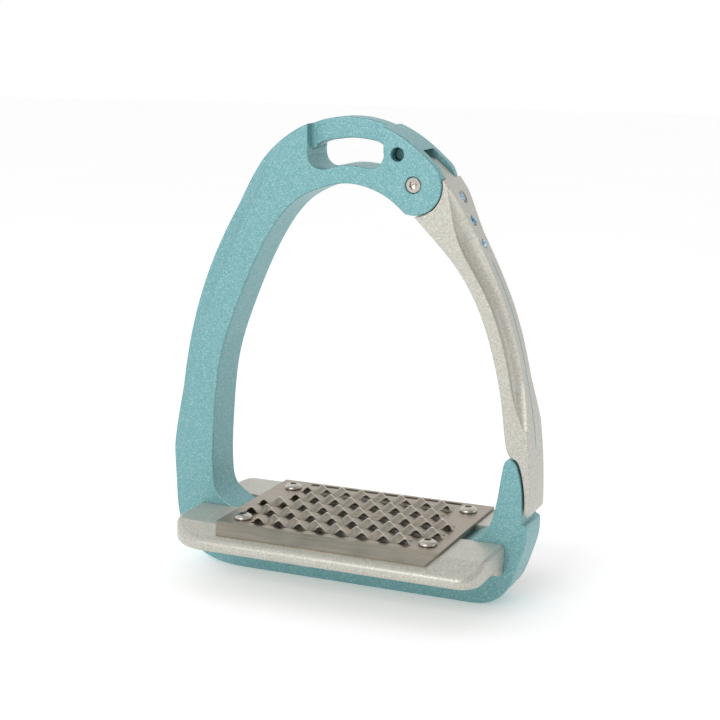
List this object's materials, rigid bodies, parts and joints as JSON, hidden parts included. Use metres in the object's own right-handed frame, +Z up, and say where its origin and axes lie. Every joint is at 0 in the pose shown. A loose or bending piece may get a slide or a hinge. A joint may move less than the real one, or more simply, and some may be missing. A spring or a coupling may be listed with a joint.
{
  "type": "safety stirrup iron",
  "caption": "Arched stirrup iron with a strap eye, a footbed pad with a toothed tread plate, and a spring-held side arm that swings out to free the foot.",
  "frame": {"origin": "underside of the base bar, at the middle of the frame's depth and of the tread screw pattern's length", "axes": "+Z up, +X towards the release arm's side, +Y to the back"},
  "size_m": [0.1463, 0.0784, 0.1758],
  "materials": {
    "paint": "fine metallic flake paint, satin",
    "silver": "warm silver metallic flake coat, satin",
    "stainless": "stainless sheet, lightly brushed",
    "steel": "turned stainless steel",
    "bronze": "plain bearing bronze",
    "crystal": "cut blue stone"
  },
  "bodies": {
    "frame": {"frame": "paint", "footbed_pad": "silver", "tread_plate": "stainless", "tread_screw_1": "steel", "tread_screw_2": "steel", "tread_screw_3": "steel", "tread_screw_4": "steel", "pad_screw_1": "steel", "pad_screw_2": "steel", "pivot_screw": "steel", "pivot_barrel": "steel", "stop_pin": "steel", "torsion_spring": "steel", "thrust_washer_front": "bronze", "thrust_washer_back": "bronze"},
    "release_arm": {"release_arm": "silver", "arm_bush": "bronze", "crystal_1": "crystal", "crystal_2": "crystal", "crystal_3": "crystal"}
  },
  "joints": [
    {"name": "arm_release", "type": "hinge", "parent": "frame", "child": "release_arm", "pos_m": [0.0254, 0, 0.1526], "axis": [0, -1, 0], "range_deg": [0, 45], "stiffness_Nm_per_rad": 0.3, "springref_deg": -28.65, "deforming": ["torsion_spring"]}
  ]
}
